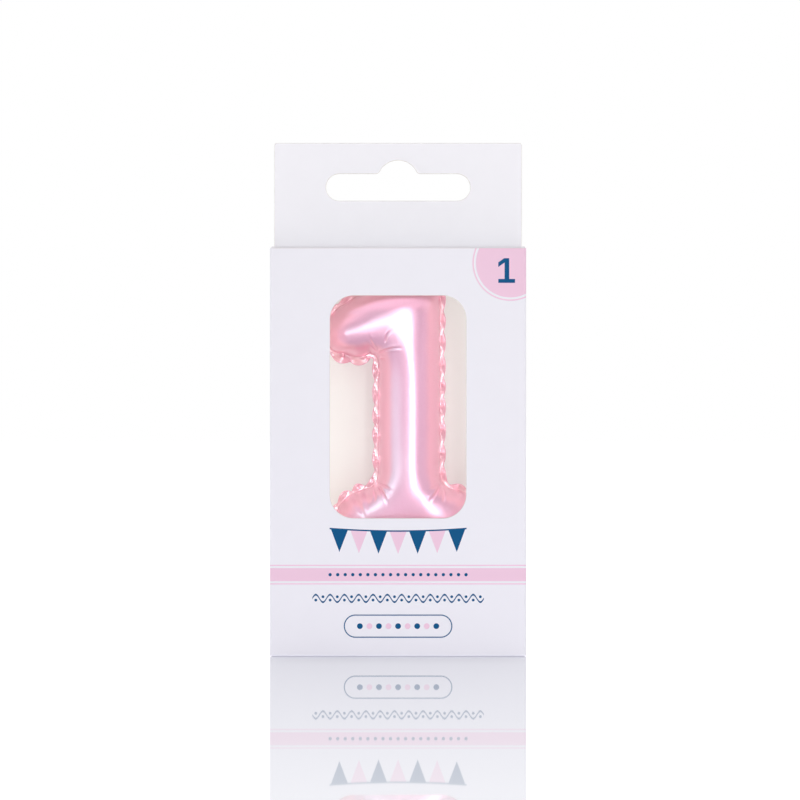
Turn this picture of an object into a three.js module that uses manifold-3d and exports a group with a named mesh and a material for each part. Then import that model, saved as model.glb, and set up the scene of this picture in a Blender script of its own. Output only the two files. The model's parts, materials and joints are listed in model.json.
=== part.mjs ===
// A boxed number birthday candle: a wax candle shaped like a foil balloon "1", standing on a
// plastic pick inside a reverse-tuck window carton with a hang tab.
//
// Millimetres, +Z up. The origin is the centre of the carton's footprint, on the face it stands
// on. The window faces -Y and +X is to the viewer's right.
import * as THREE from "three";
import { mergeVertices } from "three/addons/utils/BufferGeometryUtils.js";
import Module from "manifold-3d";

const wasm = await Module();
wasm.setup();

// ---------------------------------------------------------------- driving dimensions

const BOARD = 0.45; // carton board, about 350 g/m2
const CREASE_GAP = 0.2; // free play left beside a folded flap

const CARTON = { width: 55, depth: 20, height: 88 };
const WINDOW = { width: 29.2, height: 47.8, bottom: 29.6, radius: 5.1 };
const FILM = { margin: 5.5, thick: 0.2 };

const TAB = { aboveLid: 23.9, belowLid: 1.05, cornerRadius: 0.6 };
// The European hang slot: a long slot with a round rise in the middle of its upper edge.
const SLOT = { width: 32, height: 6, bottomAboveLid: 11.1, riseTop: 9, riseRadius: 4.6, foot: 1 };

const TUCK = { length: 8, halfWidth: 25, lean: THREE.MathUtils.degToRad(20), radius: 3 };
const DUST = { length: 11.5, closureSide: 8.4, tuckSide: 7.9, closureTaper: 6.9, tuckTaper: 1.4 };
const GLUE = { width: 12, taper: 4, endGap: 3 };
const INSERT = { halfWidth: 26.2, halfDepth: 8.7, shelf: 21.2, foot: 1.5, holeRadius: 3.2, bend: 0.9 };

const CANDLE = { x: 2.4, base: 21.6, height: 59.4, stem: 15.6, foot: 34.6, footHeight: 15.3 };
const SEAM = { width: 0.9, thick: 0.9, scallop: 0.45, pitch: 5 };
const PUFF = { share: 0.9, cell: 1.2, solverCell: 0.4, sweeps: 900, overRelax: 1.94 };
const WICK = { radius: 0.75, proud: 3.2, buried: 40, play: 0.3 };
const BOSS = { root: 2.6, tip: 1.7, rise: 0.9 };
const PICK = { tip: 2.4, width: 4, thick: 1.6, rib: 2.8, point: 8, buried: 11, barb: 1.1, play: 0.3 };

const halfW = CARTON.width / 2;
const halfD = CARTON.depth / 2;
const innerW = halfW - BOARD;
const innerD = halfD - BOARD;
const lidUnder = CARTON.height - BOARD;

// ---------------------------------------------------------------- materials

const standard = (color, roughness, metalness, extra = {}) =>
  new THREE.MeshStandardMaterial({ color, roughness, metalness, ...extra });

const MATERIAL = {
  board: standard(0xecebf0, 0.45, 0),
  insert: standard(0xf2e9e2, 0.8, 0),
  film: standard(0xffffff, 0.08, 0, { transparent: true, opacity: 0.2 }),
  wax: standard(0xe79ab4, 0.28, 0.6),
  wick: standard(0xf4efe4, 0.9, 0),
  pick: standard(0xf6f4f0, 0.35, 0),
};

// ---------------------------------------------------------------- helpers

function named(name, geometry, material) {
  const mesh = new THREE.Mesh(geometry, material);
  mesh.name = name;
  return mesh;
}

// A flat sheet: a 2D shape given a thickness along local +Z.
function sheet(shape, thick = BOARD) {
  return new THREE.ExtrudeGeometry(shape, { depth: thick, bevelEnabled: false, curveSegments: 8 });
}

function polygon(points) {
  return new THREE.Shape(points.map(([x, y]) => new THREE.Vector2(x, y)));
}

function rectangle(x0, y0, x1, y1) {
  return polygon([[x0, y0], [x1, y0], [x1, y1], [x0, y1]]);
}

// A rectangle with one radius at its two lower corners and another at its two upper corners.
function roundedRectangle(x0, y0, x1, y1, lower, upper, outline = new THREE.Shape()) {
  const quarter = Math.PI / 2;
  outline.moveTo(x0 + lower, y0);
  outline.lineTo(x1 - lower, y0);
  if (lower) outline.absarc(x1 - lower, y0 + lower, lower, -quarter, 0);
  outline.lineTo(x1, y1 - upper);
  if (upper) outline.absarc(x1 - upper, y1 - upper, upper, 0, quarter);
  outline.lineTo(x0 + upper, y1);
  if (upper) outline.absarc(x0 + upper, y1 - upper, upper, quarter, 2 * quarter);
  outline.lineTo(x0, y0 + lower);
  if (lower) outline.absarc(x0 + lower, y0 + lower, lower, 2 * quarter, 3 * quarter);
  return outline;
}

// Stands a sheet up facing the window side: its local Y becomes +Z and its thickness runs to -Y.
function faceFront(mesh, y) {
  mesh.rotation.x = Math.PI / 2;
  mesh.position.y = y;
  return mesh;
}

// Stands a sheet up as a side wall: local X becomes +Y, local Y becomes +Z, thickness runs to +X.
function faceSide(mesh, x) {
  mesh.rotation.set(Math.PI / 2, Math.PI / 2, 0);
  mesh.position.x = x;
  return mesh;
}

function solid(geometry) {
  const bare = geometry.clone();
  bare.deleteAttribute("normal");
  bare.deleteAttribute("uv");
  const merged = mergeVertices(bare, 1e-4);
  return new wasm.Manifold(
    new wasm.Mesh({
      numProp: 3,
      vertProperties: merged.attributes.position.array,
      triVerts: new Uint32Array(merged.index.array),
    }),
  );
}

function geometryOf(manifold) {
  const { vertProperties, triVerts } = manifold.getMesh();
  const geometry = new THREE.BufferGeometry();
  geometry.setAttribute("position", new THREE.BufferAttribute(vertProperties, 3));
  geometry.setIndex(new THREE.BufferAttribute(triVerts, 1));
  geometry.computeVertexNormals();
  return geometry;
}

// A solid of revolution standing on +Z, from its [radius, height] profile.
function turned(profile, segments = 20) {
  const points = profile.map(([r, z]) => new THREE.Vector2(r, z));
  return new THREE.LatheGeometry(points, segments).rotateX(Math.PI / 2);
}

// ---------------------------------------------------------------- carton walls

function frontPanel() {
  const shape = rectangle(-halfW, 0, halfW, CARTON.height - 0.4);
  const { width, height, bottom, radius } = WINDOW;
  const side = width / 2;
  const opening = new THREE.Path();
  shape.holes.push(roundedRectangle(-side, bottom, side, bottom + height, radius, radius, opening));
  return faceFront(named("front_panel", sheet(shape), MATERIAL.board), -innerD);
}

// The back wall ends a little below the fold at the hang tab's foot.
const TAB_FOOT = CARTON.height - TAB.belowLid;

function backPanel() {
  const shape = rectangle(-halfW, 0, halfW, TAB_FOOT - CREASE_GAP);
  return faceFront(named("back_panel", sheet(shape), MATERIAL.board), halfD);
}

// Both side walls stop short of the ends, where their dust flaps fold inwards.
const sideBottom = 2 * BOARD + CREASE_GAP;
const sideTop = lidUnder - BOARD - CREASE_GAP;

function sidePanel(name, x) {
  return faceSide(named(name, sheet(rectangle(-innerD, sideBottom, innerD, sideTop)), MATERIAL.board), x);
}

// Folded in from the back panel's edge and glued to the inside of the left wall.
function glueFlap() {
  const low = sideBottom + GLUE.endGap;
  const high = sideTop - GLUE.endGap;
  const inner = innerD - GLUE.width;
  const shape = polygon([
    [inner, low + GLUE.taper],
    [innerD, low],
    [innerD, high],
    [inner, high - GLUE.taper],
  ]);
  return faceSide(named("glue_flap", sheet(shape), MATERIAL.board), -innerW);
}

function windowFilm() {
  const half = WINDOW.width / 2 + FILM.margin;
  const low = WINDOW.bottom - FILM.margin;
  const shape = rectangle(-half, low, half, low + WINDOW.height + 2 * FILM.margin);
  const film = named("window_film", sheet(shape, FILM.thick), MATERIAL.film);
  return faceFront(film, -innerD + 0.05 + FILM.thick);
}

// ---------------------------------------------------------------- top closure

// Where the lid turns: the upper edge of its rear end, just in front of the tab.
const LID_HINGE = { y: innerD - BOARD - CREASE_GAP, z: CARTON.height };
// Where a tuck flap turns: the inner corner between it and the panel it hangs from.
const LID_TUCK = { y: -(innerD - BOARD - 0.35), z: lidUnder };

function lidPanel() {
  const shape = rectangle(-halfW + CREASE_GAP, LID_TUCK.y, halfW - CREASE_GAP, LID_HINGE.y);
  const lid = named("lid_panel", sheet(shape), MATERIAL.board);
  lid.position.z = lidUnder;
  return lid;
}

// A tuck flap in its own frame: it hangs down from the corner and its thickness runs to -Y.
function tuckFlap(name) {
  const { length, halfWidth, radius } = TUCK;
  const shape = roundedRectangle(-halfWidth, -length, halfWidth, 0, radius, 0);
  return faceFront(named(name, sheet(shape), MATERIAL.board), 0);
}

function lidTuckFlap() {
  const turn = new THREE.Group();
  turn.position.set(0, LID_TUCK.y, LID_TUCK.z);
  turn.rotation.x = TUCK.lean;
  turn.add(tuckFlap("lid_tuck_flap"));
  return turn;
}

// A dust flap reaching in from a side wall. Its closure side is cut back at a slant, so that it
// can lift together with the panel folded over it, and its tuck side is cut back a little.
function dustFlap(name, side, closureDirection, z) {
  const { length, closureSide, tuckSide, closureTaper, tuckTaper } = DUST;
  const root = side * innerW;
  const tip = side * (innerW - length);
  const corners = [
    [root, -tuckSide * closureDirection],
    [root, closureSide * closureDirection],
    [tip, (closureSide - closureTaper) * closureDirection],
    [tip, (tuckTaper - tuckSide) * closureDirection],
  ];
  const flap = named(name, sheet(polygon(corners)), MATERIAL.board);
  flap.position.z = z;
  return flap;
}

function hangTabShape() {
  const { aboveLid, belowLid, cornerRadius } = TAB;
  const shape = roundedRectangle(-halfW + 0.1, 0, halfW - 0.1, aboveLid + belowLid, 0, cornerRadius);
  shape.holes.push(hangSlot());
  return shape;
}

// The slot's outline: two half-round ends and a central rise with small fillets at its foot.
function hangSlot() {
  const { width, height, bottomAboveLid, riseTop, riseRadius, foot } = SLOT;
  const low = TAB.belowLid + bottomAboveLid;
  const high = low + height;
  const end = height / 2;
  const riseCentre = low + riseTop - riseRadius;
  // Each fillet circle touches the slot's upper edge from above and the rise from outside.
  const filletY = high + foot;
  const filletX = Math.sqrt((riseRadius + foot) ** 2 - (filletY - riseCentre) ** 2);
  const contact = Math.atan2(filletY - riseCentre, filletX);
  const path = new THREE.Path();
  path.moveTo(-width / 2 + end, low);
  path.lineTo(width / 2 - end, low);
  path.absarc(width / 2 - end, low + end, end, -Math.PI / 2, Math.PI / 2);
  path.lineTo(filletX, high);
  path.absarc(filletX, filletY, foot, -Math.PI / 2, Math.PI + contact, true);
  path.absarc(0, riseCentre, riseRadius, contact, Math.PI - contact);
  path.absarc(-filletX, filletY, foot, -contact, -Math.PI / 2, true);
  path.lineTo(-width / 2 + end, high);
  path.absarc(-width / 2 + end, low + end, end, Math.PI / 2, 1.5 * Math.PI);
  return path;
}

// The tab is the back panel's sheet doubled over: the front ply runs on into the lid.
function hangTabPly(name, y) {
  const ply = faceFront(named(name, sheet(hangTabShape()), MATERIAL.board), y);
  ply.position.z = TAB_FOOT;
  return ply;
}

// ---------------------------------------------------------------- bottom closure

const BOTTOM_TUCK = { y: innerD - BOARD - 0.35, z: BOARD };

function bottomPanel() {
  const shape = rectangle(-halfW + CREASE_GAP, -innerD, halfW - CREASE_GAP, BOTTOM_TUCK.y);
  return named("bottom_panel", sheet(shape), MATERIAL.board);
}

function bottomTuckFlap() {
  const turn = new THREE.Group();
  turn.position.set(0, BOTTOM_TUCK.y, BOTTOM_TUCK.z);
  turn.rotation.x = Math.PI + TUCK.lean;
  turn.add(tuckFlap("bottom_tuck_flap"));
  return turn;
}

// ---------------------------------------------------------------- insert

// A strip of board folded into a bridge. The candle's foot stands on it, the pick hangs through it.
function candleInsert() {
  const { halfWidth, halfDepth, shelf, foot, holeRadius, bend } = INSERT;
  const inner = bend - BOARD;
  const profile = new THREE.Shape();
  profile.moveTo(-halfWidth, foot);
  profile.lineTo(-halfWidth + BOARD, foot);
  profile.lineTo(-halfWidth + BOARD, shelf - bend);
  profile.absarc(-halfWidth + bend, shelf - bend, inner, Math.PI, Math.PI / 2, true);
  profile.lineTo(halfWidth - bend, shelf - BOARD);
  profile.absarc(halfWidth - bend, shelf - bend, inner, Math.PI / 2, 0, true);
  profile.lineTo(halfWidth - BOARD, foot);
  profile.lineTo(halfWidth, foot);
  profile.lineTo(halfWidth, shelf - bend);
  profile.absarc(halfWidth - bend, shelf - bend, bend, 0, Math.PI / 2);
  profile.lineTo(-halfWidth + bend, shelf);
  profile.absarc(-halfWidth + bend, shelf - bend, bend, Math.PI / 2, Math.PI);
  const strip = sheet(profile, 2 * halfDepth).rotateX(Math.PI / 2).translate(0, halfDepth, 0);
  const hole = turned([[0, shelf - 2], [holeRadius, shelf - 2], [holeRadius, shelf + 2], [0, shelf + 2]], 24);
  const cut = solid(strip).subtract(solid(hole.translate(CANDLE.x, 0, 0)));
  return named("candle_insert", geometryOf(cut), MATERIAL.insert);
}

// ---------------------------------------------------------------- candle

// The numeral's outline in its own frame: x from the stem's middle, y up from the foot.
function numeralShape() {
  const stem = CANDLE.stem / 2;
  const foot = CANDLE.foot / 2;
  const top = CANDLE.height;
  const shelf = CANDLE.footHeight;
  const shape = new THREE.Shape();
  shape.moveTo(-foot + 5, 0);
  shape.lineTo(foot - 5, 0);
  shape.quadraticCurveTo(foot, 0.2, foot, 6.2);
  shape.bezierCurveTo(foot - 0.2, 11.5, foot - 3.4, 14.2, stem + 1.6, shelf - 0.2);
  shape.quadraticCurveTo(stem, shelf, stem, shelf + 2.4);
  shape.lineTo(stem, top - 3.6);
  shape.quadraticCurveTo(stem, top, stem - 3.6, top);
  shape.lineTo(-2.6, top);
  shape.bezierCurveTo(-8, top - 0.6, -13.6, top - 4.1, -16.9, top - 7.2);
  shape.bezierCurveTo(-20.3, top - 10.6, -18.8, top - 15.8, -15, top - 17.6);
  shape.bezierCurveTo(-12.6, top - 18.8, -9.9, top - 18.4, -stem - 0.6, top - 16.9);
  shape.quadraticCurveTo(-stem, top - 17, -stem, top - 19);
  shape.lineTo(-stem, shelf + 2.4);
  shape.quadraticCurveTo(-stem, shelf, -stem - 1.6, shelf - 0.2);
  shape.bezierCurveTo(-foot + 3.4, 14.2, -foot + 0.2, 11.5, -foot, 6.2);
  shape.quadraticCurveTo(-foot, 0.2, -foot + 5, 0);
  return shape;
}

// The same outline with the welded seam's scallops along it.
function scallopedOutline(base) {
  const length = base.getLength();
  const arches = Math.round(length / SEAM.pitch);
  const count = arches * 5;
  const points = [];
  for (let i = 0; i < count; i += 1) {
    const t = i / count;
    const point = base.getPointAt(t);
    const along = base.getTangentAt(t);
    const out = SEAM.scallop * (Math.abs(Math.sin(Math.PI * arches * t)) - 0.5);
    points.push([point.x + along.y * out, point.y - along.x * out]);
  }
  return polygon(points);
}

// Distance from a point to a closed polygon, positive inside it.
function depthInside(px, py, loop) {
  let nearest = Infinity;
  let inside = false;
  for (let i = 0, j = loop.length - 1; i < loop.length; j = i, i += 1) {
    const a = loop[j];
    const b = loop[i];
    const dx = b.x - a.x;
    const dy = b.y - a.y;
    const reach = ((px - a.x) * dx + (py - a.y) * dy) / (dx * dx + dy * dy || 1);
    const along = THREE.MathUtils.clamp(reach, 0, 1);
    nearest = Math.min(nearest, Math.hypot(px - a.x - along * dx, py - a.y - along * dy));
    const crosses = b.y > py !== a.y > py;
    if (crosses && px < ((a.x - b.x) * (py - b.y)) / (a.y - b.y) + b.x) inside = !inside;
  }
  return inside ? nearest : -nearest;
}

// How far the wax swells from the seam's plane: the shape of a membrane blown up inside the
// seam (Poisson's equation, solved by over-relaxation). Its square root is round in section.
function inflation(base, columns, rows, x0, y0) {
  const { solverCell, sweeps, overRelax } = PUFF;
  const loop = base.getSpacedPoints(400);
  const free = new Uint8Array(columns * rows);
  const load = new Float64Array(columns * rows);
  for (let j = 1; j < rows - 1; j += 1) {
    for (let i = 1; i < columns - 1; i += 1) {
      const inside = depthInside(x0 + i * solverCell, y0 + j * solverCell, loop);
      free[j * columns + i] = inside > SEAM.width ? 1 : 0;
    }
  }
  for (let sweep = 0; sweep < sweeps; sweep += 1) {
    for (let k = columns; k < free.length - columns; k += 1) {
      if (!free[k]) continue;
      const around = load[k - 1] + load[k + 1] + load[k - columns] + load[k + columns];
      load[k] += overRelax * ((around + solverCell * solverCell) / 4 - load[k]);
    }
  }
  return load;
}

// The swollen slab over the numeral's bounding box: thick inside the seam and thin elsewhere.
function swollenSlab(base) {
  const { cell, solverCell, share } = PUFF;
  const step = Math.round(cell / solverCell);
  const left = -21.6;
  const low = -1.2;
  const across = Math.ceil(41 / cell);
  const up = Math.ceil((CANDLE.height + 2.8) / cell);
  const columns = across * step + 1;
  const rows = up * step + 1;
  const load = inflation(base, columns, rows, left, low);
  const positions = [];
  const index = [];
  const stride = across + 1;
  const layer = stride * (up + 1);
  for (const side of [-1, 1]) {
    for (let j = 0; j <= up; j += 1) {
      for (let i = 0; i <= across; i += 1) {
        const swell = share * Math.sqrt(2 * load[j * step * columns + i * step]);
        positions.push(left + i * cell, low + j * cell, side * Math.max(SEAM.thick / 2, swell));
      }
    }
  }
  for (let j = 0; j < up; j += 1) {
    for (let i = 0; i < across; i += 1) {
      const a = j * stride + i;
      const b = a + 1;
      const c = a + stride;
      const d = c + 1;
      index.push(a, c, b, b, c, d);
      index.push(a + layer, b + layer, c + layer, b + layer, d + layer, c + layer);
    }
  }
  const rim = (a, b) => index.push(a, b, b + layer, a, b + layer, a + layer);
  for (let i = 0; i < across; i += 1) {
    rim(i, i + 1);
    rim(up * stride + i + 1, up * stride + i);
  }
  for (let j = 0; j < up; j += 1) {
    rim((j + 1) * stride, j * stride);
    rim(j * stride + across, (j + 1) * stride + across);
  }
  const geometry = new THREE.BufferGeometry();
  geometry.setAttribute("position", new THREE.Float32BufferAttribute(positions, 3));
  geometry.setIndex(index);
  return geometry;
}

// A round core on the numeral's own axis, between two heights.
function core(lowRadius, highRadius, from, to) {
  const profile = [[0, from], [lowRadius, from], [highRadius, to], [0, to]];
  return solid(turned(profile).rotateX(-Math.PI / 2));
}

function candleBody() {
  const base = numeralShape();
  const reach = CARTON.depth;
  const outline = sheet(scallopedOutline(base), reach).translate(0, 0, -reach / 2);
  const top = CANDLE.height;
  let wax = solid(swollenSlab(base)).intersect(solid(outline));
  const bore = WICK.radius + WICK.play;
  const sleeve = PICK.width / 2 + 1.2;
  wax = wax.add(core(BOSS.root, BOSS.tip, top - 4, top + BOSS.rise));
  wax = wax.add(core(sleeve, sleeve, 0, 5));
  wax = wax.subtract(core(bore, bore, top - WICK.buried - WICK.play, top + 4));
  const upright = geometryOf(wax.subtract(solid(pickBlade(PICK.play)))).rotateX(Math.PI / 2);
  return named("candle_body", upright, MATERIAL.wax);
}

function wick() {
  const { radius, proud, buried } = WICK;
  const low = CANDLE.height - buried;
  const top = CANDLE.height + proud;
  const profile = [[0, low], [radius, low], [radius, top - 0.4], [radius - 0.3, top], [0, top]];
  return named("wick", turned(profile, 12), MATERIAL.wick);
}

// The pick in the numeral's frame, grown by a margin to make its socket: a pointed blade with a
// rib across it, a barb that locks in the wax and a shoulder just under the foot.
function pickBlade(grow) {
  const { tip, width, thick, rib, point, buried, barb } = PICK;
  const low = tip - CANDLE.base;
  const half = width / 2 + grow;
  const blade = polygon([
    [0, low - 1.5 * grow],
    [half, low + point],
    [half, buried - 3],
    [half + barb, buried - 3],
    [half * 0.6, buried + grow],
    [-half * 0.6, buried + grow],
    [-half - barb, buried - 3],
    [-half, buried - 3],
    [-half, low + point],
  ]);
  const ribHalf = rib / 2 + grow;
  const spine = polygon([
    [0, low + 1 - grow],
    [ribHalf, low + point],
    [ribHalf, buried - 4 + grow],
    [-ribHalf, buried - 4 + grow],
    [-ribHalf, low + point],
  ]);
  const bladeThick = thick + 2 * grow;
  const spineThick = 1 + 2 * grow;
  const flat = sheet(blade, bladeThick).translate(0, 0, -bladeThick / 2);
  const across = sheet(spine, spineThick).translate(0, 0, -spineThick / 2).rotateY(Math.PI / 2);
  return geometryOf(solid(flat).add(solid(across)));
}

function candlePick() {
  return named("candle_pick", pickBlade(0).rotateX(Math.PI / 2), MATERIAL.pick);
}

// ---------------------------------------------------------------- assembly

const carton = new THREE.Group();
carton.add(frontPanel(), backPanel(), glueFlap(), windowFilm(), candleInsert());
carton.add(sidePanel("left_side_panel", -halfW), sidePanel("right_side_panel", innerW));

const topClosure = new THREE.Group();
topClosure.add(lidPanel(), lidTuckFlap());
topClosure.add(hangTabPly("hang_tab_rear_ply", halfD), hangTabPly("hang_tab_front_ply", innerD));
topClosure.add(dustFlap("top_dust_flap_left", -1, 1, sideTop));
topClosure.add(dustFlap("top_dust_flap_right", 1, 1, sideTop));

const bottomClosure = new THREE.Group();
bottomClosure.add(bottomPanel(), bottomTuckFlap());
bottomClosure.add(dustFlap("bottom_dust_flap_left", -1, -1, BOARD + CREASE_GAP));
bottomClosure.add(dustFlap("bottom_dust_flap_right", 1, -1, BOARD + CREASE_GAP));

const candle = new THREE.Group();
candle.position.set(CANDLE.x, 0, CANDLE.base);
candle.add(candleBody(), wick(), candlePick());

const boxedCandle = new THREE.Group();
boxedCandle.add(carton, topClosure, bottomClosure, candle);

export default boxedCandle;
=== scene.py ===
"""Looks of the boxed number birthday candle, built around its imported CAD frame.

Lengths are in metres, but the print and the numeral are laid out in millimetres. The window faces -Y and +Z
is up.
"""

import json
import math

import bmesh
import bpy
import numpy as np
from mathutils import Matrix, Vector
from mathutils.geometry import delaunay_2d_cdt, tessellate_polygon

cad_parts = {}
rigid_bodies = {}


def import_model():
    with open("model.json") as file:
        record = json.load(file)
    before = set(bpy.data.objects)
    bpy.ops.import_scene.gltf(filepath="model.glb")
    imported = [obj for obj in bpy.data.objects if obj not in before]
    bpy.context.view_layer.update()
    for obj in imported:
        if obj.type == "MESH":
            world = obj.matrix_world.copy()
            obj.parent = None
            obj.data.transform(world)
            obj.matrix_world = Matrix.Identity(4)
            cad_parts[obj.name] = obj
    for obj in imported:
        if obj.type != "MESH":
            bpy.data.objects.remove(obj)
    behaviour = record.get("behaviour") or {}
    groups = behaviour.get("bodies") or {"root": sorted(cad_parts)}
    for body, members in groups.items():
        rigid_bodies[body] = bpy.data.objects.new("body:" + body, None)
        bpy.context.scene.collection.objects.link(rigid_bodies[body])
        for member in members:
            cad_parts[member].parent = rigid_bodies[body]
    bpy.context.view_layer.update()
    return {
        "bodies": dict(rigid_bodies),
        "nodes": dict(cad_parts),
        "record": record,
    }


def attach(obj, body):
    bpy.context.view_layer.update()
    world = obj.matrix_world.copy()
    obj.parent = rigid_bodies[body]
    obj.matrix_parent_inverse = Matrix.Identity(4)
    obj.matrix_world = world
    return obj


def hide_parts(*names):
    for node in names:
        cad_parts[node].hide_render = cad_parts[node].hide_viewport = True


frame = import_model()
MM = 0.001
BODY_OF = {n: b for b, nodes in frame["record"]["behaviour"]["bodies"].items() for n in nodes}

# ---------- colours (scene linear)


def srgb(red, green, blue):
    """A display colour from 0 to 255 as a linear colour."""
    return tuple(((c / 255 + 0.055) / 1.055) ** 2.4 if c > 10 else c / 3294.6 for c in (red, green, blue))


BOARD_WHITE = srgb(239, 238, 243)
# The hang tab is the same board as the rest, painted a lighter white: painted light for the brighter light it
# stands in above the lid.
TAB_PAINTED_LIGHT_WHITE = srgb(247, 246, 249)
BOARD_CREAM = srgb(242, 237, 232)
BOARD_CORE = srgb(228, 222, 214)
INK_PINK = srgb(238, 202, 221)
INK_NAVY = srgb(2, 84, 132)
PEARL_LILAC_SHEEN = srgb(228, 163, 193)
PEARL_PINK = srgb(244, 172, 194)
PEARL_RIBBON = srgb(243, 188, 200)
PEARL_POWDER = srgb(255, 226, 242)


# ---------- shader fields


class Field:
    """A number that varies over a surface, made of shader math nodes."""

    def __init__(self, tree, socket):
        self.tree = tree
        self.socket = socket

    def _node(self, operation, *inputs):
        node = self.tree.nodes.new("ShaderNodeMath")
        node.operation = operation
        for slot, value in zip(node.inputs, (self, *inputs)):
            if isinstance(value, Field):
                self.tree.links.new(value.socket, slot)
            else:
                slot.default_value = value
        return Field(self.tree, node.outputs[0])

    def __add__(self, other):
        return self._node("ADD", other)

    def __sub__(self, other):
        return self._node("SUBTRACT", other)

    def __mul__(self, other):
        return self._node("MULTIPLY", other)

    def __truediv__(self, other):
        return self._node("DIVIDE", other)

    def __abs__(self):
        return self._node("ABSOLUTE")

    def sqrt(self):
        return self._node("SQRT")

    def sin(self):
        return self._node("SINE")

    def floor(self):
        return self._node("FLOOR")

    def min(self, other):
        return self._node("MINIMUM", other)

    def max(self, other):
        return self._node("MAXIMUM", other)

    def below(self, limit):
        """1 where the field is under the limit, and 0 elsewhere."""
        return self._node("LESS_THAN", limit)


def distance(x, z, at_x, at_z):
    across = x - at_x
    up = z - at_z
    return (across * across + up * up).sqrt()


def in_box(x, z, low_x, low_z, high_x, high_z):
    middle_x, middle_z = (low_x + high_x) / 2, (low_z + high_z) / 2
    across = abs(x - middle_x) - (high_x - low_x) / 2
    up = abs(z - middle_z) - (high_z - low_z) / 2
    return across.max(up).below(0)


class Paint:
    """A node material under construction."""

    def __init__(self, name):
        self.material = bpy.data.materials.new(name)
        self.material.use_nodes = True
        self.tree = self.material.node_tree
        self.surface = self.tree.nodes["Principled BSDF"]
        self.output = self.tree.nodes["Material Output"]
        self.place = self.tree.nodes.new("ShaderNodeTexCoord").outputs["Object"]

    def node(self, kind, **settings):
        node = self.tree.nodes.new("ShaderNode" + kind)
        for key, value in settings.items():
            setattr(node, key, value)
        return node

    def link(self, source, target):
        self.tree.links.new(source.socket if isinstance(source, Field) else source, target)

    def axes_mm(self):
        """The object coordinates as three fields, in millimetres."""
        split = self.node("SeparateXYZ")
        self.link(self.place, split.inputs[0])
        return [Field(self.tree, out) * 1000 for out in split.outputs]

    def noise(self, size_mm, detail, stretch=None):
        """Fractal noise from 0 to 1, with features of about this size."""
        texture = self.node("TexNoise")
        texture.inputs["Scale"].default_value = 1000 / size_mm
        texture.inputs["Detail"].default_value = detail
        source = self.place
        if stretch:
            mapping = self.node("Mapping")
            mapping.inputs["Scale"].default_value = stretch
            self.link(self.place, mapping.inputs["Vector"])
            source = mapping.outputs[0]
        self.link(source, texture.inputs["Vector"])
        return Field(self.tree, texture.outputs[0])

    def span(self, field, low, high):
        """The 0 to 1 field spread over low to high."""
        return field * (high - low) + low

    def mix(self, amount, first, second):
        """A colour between two colours or colour sockets."""
        node = self.node("Mix", data_type="RGBA")
        if isinstance(amount, Field):
            self.link(amount, node.inputs["Factor"])
        else:
            node.inputs["Factor"].default_value = amount
        for slot, value in ((node.inputs[6], first), (node.inputs[7], second)):
            if isinstance(value, tuple):
                slot.default_value = (*value, 1)
            else:
                self.link(value, slot)
        return node.outputs[2]

    def set(self, **values):
        names = {"color": "Base Color", "specular": "Specular IOR Level", "coat": "Coat Weight"}
        for key, value in values.items():
            slot = self.surface.inputs[names.get(key, key.replace("_", " ").title())]
            if isinstance(value, (int, float)):
                slot.default_value = value
            elif isinstance(value, tuple):
                slot.default_value = (*value, 1)
            else:
                self.link(value, slot)

    def blend_shaders(self, amount, first, second):
        node = self.node("MixShader")
        for slot, value in zip(node.inputs, (amount, first, second)):
            self.link(value, slot)
        return node.outputs[0]

    def bump(self, height, depth_mm, strength):
        node = self.node("Bump")
        node.inputs["Strength"].default_value = strength
        node.inputs["Distance"].default_value = depth_mm * MM
        self.link(height, node.inputs["Height"])
        self.link(node.outputs[0], self.surface.inputs["Normal"])


# ---------- printed art

# The print on the carton, in millimetres from the middle of the front wall's foot.
BAND = {"low": 16.1, "high": 18.9, "line": 0.26, "line_gap": 0.58}
ROUNDEL = {"x": 24.1, "z": 84.4, "disc": 7.4, "ring_in": 7.85, "ring_out": 8.15}
FIGURE = {"low": 80.1, "high": 85.4, "slab": 0.85, "left": 21.5, "right": 25.1}
FIGURE_STEM = {"left": 22.85, "right": 23.85}
FIGURE_FLAG = {"right": 23.2, "low": 83.0, "start": 84.0, "rise": 0.72, "half": 0.5}
BUNTING = {"half": 14.7, "top": 27.4, "flag": 4.9, "count": 7, "fill": 0.44, "cord": 0.16, "sag": 0.55}
GARLAND = {"half": 18.4, "z": 12.4, "wave": 3.07, "swing": 0.8, "half_line": 0.204, "dot": 0.3, "dot_z": 0.36}
PILL = {"half_width": 11.65, "half_height": 2.49, "z": 6.45, "line": 0.24}
BAND_DOTS = {"half": 15.0, "pitch": 1.62, "radius": 0.36}
PILL_DOTS = {"half": 9.0, "pitch": 2.05, "radius": 0.62}
HALF_WIDTH, HALF_DEPTH = 27.5, 10


def is_odd(number):
    """1 where a whole number is odd, and 0 where it is even."""
    half = number * 0.5
    return abs(half - half.floor() - 0.5).below(0.25)


def band_ink(z):
    """The pink band round the carton, with a thin line above and one below it."""
    low, high = BAND["low"], BAND["high"]
    middle, half = (low + high) / 2, (high - low) / 2
    away = abs(z - middle)
    line = abs(away - (half + BAND["line_gap"])).below(BAND["line"] / 2)
    return away.below(half).max(line)


def roundel_ink(x, z):
    """The pink disc in the upper corner, inside a thin pink ring."""
    reach = distance(x, z, ROUNDEL["x"], ROUNDEL["z"])
    ring = abs(reach - (ROUNDEL["ring_in"] + ROUNDEL["ring_out"]) / 2)
    return reach.below(ROUNDEL["disc"]).max(ring.below((ROUNDEL["ring_out"] - ROUNDEL["ring_in"]) / 2))


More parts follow.
